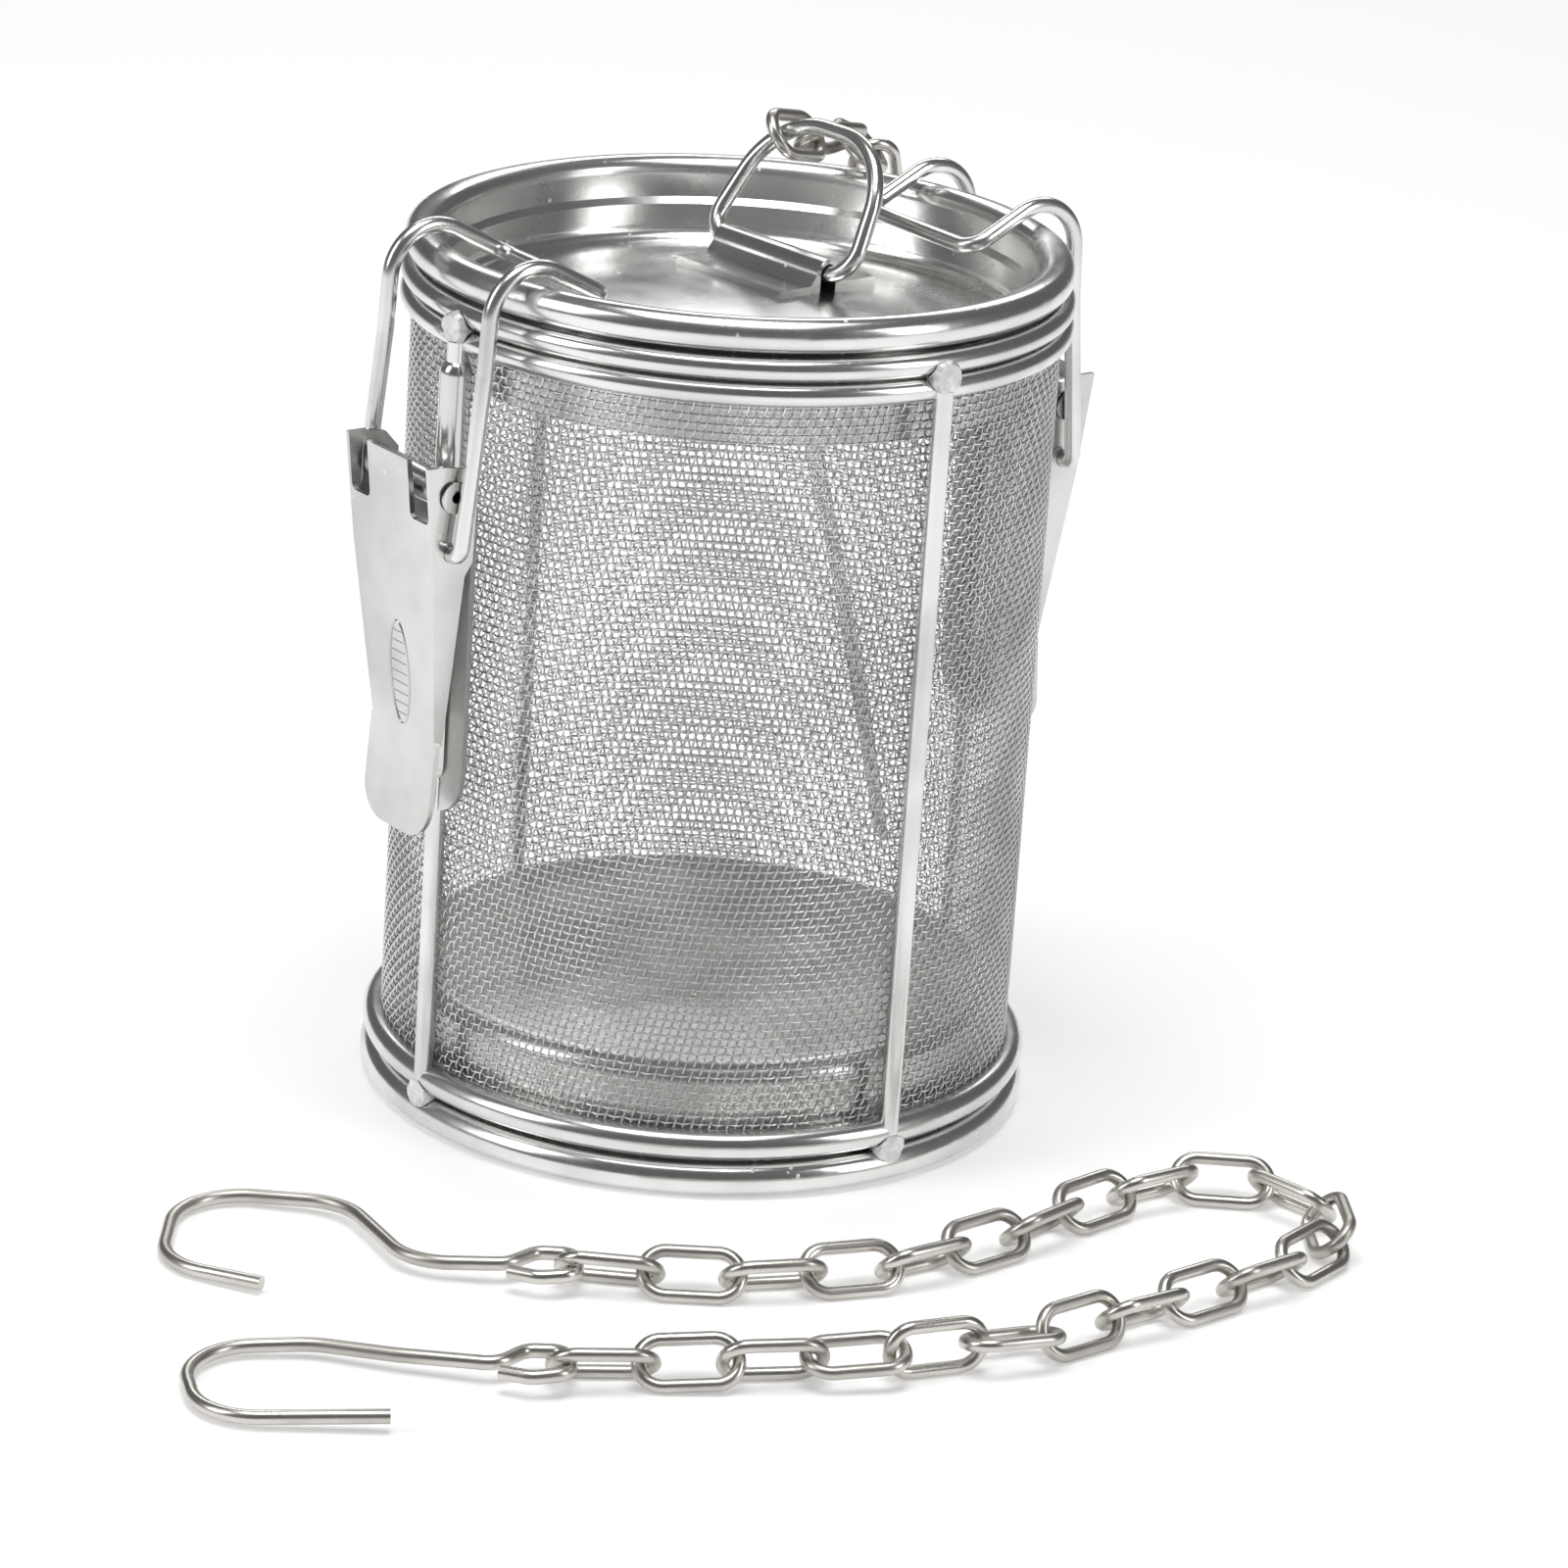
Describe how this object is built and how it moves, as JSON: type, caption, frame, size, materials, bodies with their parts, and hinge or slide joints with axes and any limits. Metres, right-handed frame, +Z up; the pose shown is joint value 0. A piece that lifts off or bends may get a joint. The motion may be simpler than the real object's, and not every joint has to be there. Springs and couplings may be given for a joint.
{
  "type": "tea infuser",
  "caption": "Cylindrical woven wire tea infuser with a dished lid held by two wire bail latches, a lifting ring, and chains ending in hooks.",
  "frame": {"origin": "centre of the base rim's underside, on the table", "axes": "+Z up along the basket's axis, +X through the right latch, -X through the left latch, -Y towards the loose chain in front"},
  "size_m": [0.1629, 0.1409, 0.1253],
  "materials": {
    "woven_wire": "fine plain-woven stainless steel wire cloth, bright",
    "polished_wire": "polished stainless steel wire",
    "spun_sheet": "polished spun stainless steel sheet with fine specks",
    "pressed_sheet": "polished pressed stainless steel sheet",
    "weld_metal": "pale frosted weld beads",
    "rivet": "polished stainless steel rivet",
    "chain_wire": "satin stainless steel wire, slightly warm"
  },
  "bodies": {
    "basket": {"mesh_wall": "woven_wire", "upper_rim_ring": "polished_wire", "lower_rim_ring": "polished_wire", "base_ring": "polished_wire", "right_rib": "polished_wire", "back_rib": "polished_wire", "left_rib": "polished_wire", "front_rib": "polished_wire", "base_pan": "spun_sheet", "top_welds": "weld_metal", "base_welds": "weld_metal", "right_latch_base": "pressed_sheet", "left_latch_base": "pressed_sheet", "right_pivot_pin": "rivet", "left_pivot_pin": "rivet"},
    "lid": {"lid_pan": "spun_sheet", "lid_skirt": "spun_sheet", "ring_clip": "pressed_sheet", "lid_chain_link_01": "chain_wire", "lid_chain_link_02": "chain_wire", "lid_chain_link_03": "chain_wire"},
    "lid_ring": {"lid_ring": "polished_wire"},
    "lid_chain_hanging": {"lid_chain_link_04": "chain_wire", "lid_chain_link_05": "chain_wire", "lid_chain_link_06": "chain_wire", "lid_chain_link_07": "chain_wire"},
    "right_lever": {"right_lever": "pressed_sheet"},
    "left_lever": {"left_lever": "pressed_sheet"},
    "right_bail": {"right_bail": "polished_wire"},
    "left_bail": {"left_bail": "polished_wire"},
    "loose_chain_turn": {"loose_chain_link_11": "chain_wire", "loose_chain_link_12": "chain_wire", "loose_chain_link_13": "chain_wire"},
    "loose_chain_second_strand": {"loose_chain_link_06": "chain_wire", "loose_chain_link_07": "chain_wire", "loose_chain_link_08": "chain_wire", "loose_chain_link_09": "chain_wire", "loose_chain_link_10": "chain_wire"},
    "loose_chain_first_strand": {"loose_chain_link_01": "chain_wire", "loose_chain_link_02": "chain_wire", "loose_chain_link_03": "chain_wire", "loose_chain_link_04": "chain_wire", "loose_chain_link_05": "chain_wire"},
    "loose_hook_a": {"loose_hook_a": "chain_wire"},
    "loose_chain_third_strand": {"loose_chain_link_14": "chain_wire", "loose_chain_link_15": "chain_wire", "loose_chain_link_16": "chain_wire", "loose_chain_link_17": "chain_wire", "loose_chain_link_18": "chain_wire"},
    "loose_chain_fourth_strand": {"loose_chain_link_19": "chain_wire", "loose_chain_link_20": "chain_wire", "loose_chain_link_21": "chain_wire", "loose_chain_link_22": "chain_wire", "loose_chain_link_23": "chain_wire"},
    "loose_hook_b": {"loose_hook_b": "chain_wire"}
  },
  "joints": [
    {"name": "lid_lift", "type": "slide", "parent": "basket", "child": "lid", "axis": [0, 0, 1], "range_m": [0, 0.00125]},
    {"name": "lid_ring_tilt", "type": "hinge", "parent": "lid", "child": "lid_ring", "pos_m": [0.0075, 0.0025, 0.109], "axis": [-0.0872, 0.9962, 0], "range_deg": [0, 8]},
    {"name": "lid_chain_swing", "type": "hinge", "parent": "lid", "child": "lid_chain_hanging", "pos_m": [0.0389, 0.02412, 0.11467], "axis": [0.5269, -0.8499, 0], "range_deg": [0, 50]},
    {"name": "right_lever_turn", "type": "hinge", "parent": "basket", "child": "right_lever", "pos_m": [0.048, 0, 0.0876], "axis": [0, -1, 0], "range_deg": [0, 75.01]},
    {"name": "left_lever_turn", "type": "hinge", "parent": "basket", "child": "left_lever", "pos_m": [-0.048, 0, 0.0876], "axis": [0, 1, 0], "range_deg": [0, 75.01]},
    {"name": "right_bail_turn", "type": "hinge", "parent": "right_lever", "child": "right_bail", "pos_m": [0.048, 0, 0.0803], "axis": [0, -1, 0], "range_deg": [-67.51, 0]},
    {"name": "left_bail_turn", "type": "hinge", "parent": "left_lever", "child": "left_bail", "pos_m": [-0.048, 0, 0.0803], "axis": [0, 1, 0], "range_deg": [-67.51, 0]},
    {"name": "loose_chain_slide", "type": "slide", "parent": "basket", "child": "loose_chain_turn", "axis": [0, -1, 0], "range_m": [0, 0.06]},
    {"name": "loose_chain_second_bend", "type": "hinge", "parent": "loose_chain_turn", "child": "loose_chain_second_strand", "pos_m": [0.03817, -0.07096, 0.00288], "axis": [0, 0, 1], "range_deg": [-5, 2]},
    {"name": "loose_chain_first_bend", "type": "hinge", "parent": "loose_chain_second_strand", "child": "loose_chain_first_strand", "pos_m": [-0.00919, -0.06846, 0.00288], "axis": [0, 0, 1], "range_deg": [-4, 8]},
    {"name": "loose_hook_a_swing", "type": "hinge", "parent": "loose_chain_first_strand", "child": "loose_hook_a", "pos_m": [-0.0535, -0.0492, 0.00288], "axis": [0, 0, 1], "range_deg": [-8, 3]},
    {"name": "loose_chain_third_bend", "type": "hinge", "parent": "loose_chain_turn", "child": "loose_chain_third_strand", "pos_m": [0.02475, -0.09193, 0.00288], "axis": [0, 0, 1], "range_deg": [-4, 8]},
    {"name": "loose_chain_fourth_bend", "type": "hinge", "parent": "loose_chain_third_strand", "child": "loose_chain_fourth_strand", "pos_m": [-0.02479, -0.09198, 0.00372], "axis": [0, 0, 1], "range_deg": [-10, 10]},
    {"name": "loose_hook_b_swing", "type": "hinge", "parent": "loose_chain_fourth_strand", "child": "loose_hook_b", "pos_m": [-0.06984, -0.07134, 0.00288], "axis": [0, 0, 1], "range_deg": [-7, 7]}
  ],
  "couplings": [
    {"joint": "right_lever_turn", "follows": "lid_lift", "rad_per_m": 1047.2},
    {"joint": "left_lever_turn", "follows": "lid_lift", "rad_per_m": 1047.2},
    {"joint": "right_bail_turn", "follows": "lid_lift", "rad_per_m": -942.48},
    {"joint": "left_bail_turn", "follows": "lid_lift", "rad_per_m": -942.48}
  ]
}
